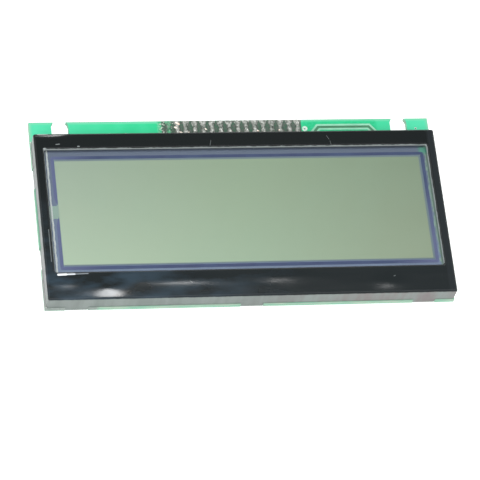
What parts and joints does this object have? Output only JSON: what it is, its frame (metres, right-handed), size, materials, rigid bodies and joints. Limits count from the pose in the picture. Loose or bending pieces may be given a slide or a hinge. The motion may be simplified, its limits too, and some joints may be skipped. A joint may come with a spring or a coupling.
{
  "type": "character lcd module",
  "caption": "Reflective character display module: a black stamped bezel clamps a grey-green glass cell to a green circuit board with edge notches and a row of soldered pads.",
  "frame": {"origin": "under the middle of the circuit board, on the plane that the three chip domes rest on", "axes": "+Z the way the display faces, +X along the display to the reader's right, +Y towards the edge with the solder pads"},
  "size_m": [0.118, 0.0592, 0.0084],
  "materials": {
    "solder_mask": "green solder mask over glass-epoxy laminate",
    "tinned_copper": "hot-tinned copper",
    "masked_copper": "copper track under solder mask",
    "gold": "flash gold",
    "solder": "bright tin solder",
    "bezel_coat": "gloss black face, bare satin side walls",
    "polarizer": "clear anti-scratch film",
    "glass": "polished float glass",
    "seal": "blue-violet epoxy",
    "end_seal": "cured adhesive",
    "liquid_crystal": "grey-green field",
    "rear_film": "bluish-grey polarizing film",
    "reflector": "diffuse silvered film",
    "spacer": "white moulding",
    "elastomer": "layered silicone",
    "epoxy": "black potting epoxy",
    "resistor": "black overglaze on alumina",
    "capacitor": "tan ceramic"
  },
  "bodies": {
    "root": {"pcb": "solder_mask", "front_pads": "tinned_copper", "ground_strips": "tinned_copper", "front_tracks": "masked_copper", "contact_fingers": "gold", "rear_pads": "tinned_copper", "rear_tracks": "masked_copper", "solder_joints": "solder", "bezel": "bezel_coat", "front_polarizer": "polarizer", "front_glass": "glass", "seal_ring": "seal", "end_seal": "end_seal", "liquid_crystal": "liquid_crystal", "rear_glass": "glass", "rear_polarizer": "rear_film", "reflector": "reflector", "spacer_frame": "spacer", "upper_contact_strip": "elastomer", "lower_contact_strip": "elastomer", "controller_dome": "epoxy", "left_driver_dome": "epoxy", "right_driver_dome": "epoxy", "bias_resistors": "resistor", "oscillator_resistor": "resistor", "bypass_capacitors": "capacitor", "chip_terminals": "solder", "chip_pads": "solder"}
  },
  "joints": []
}
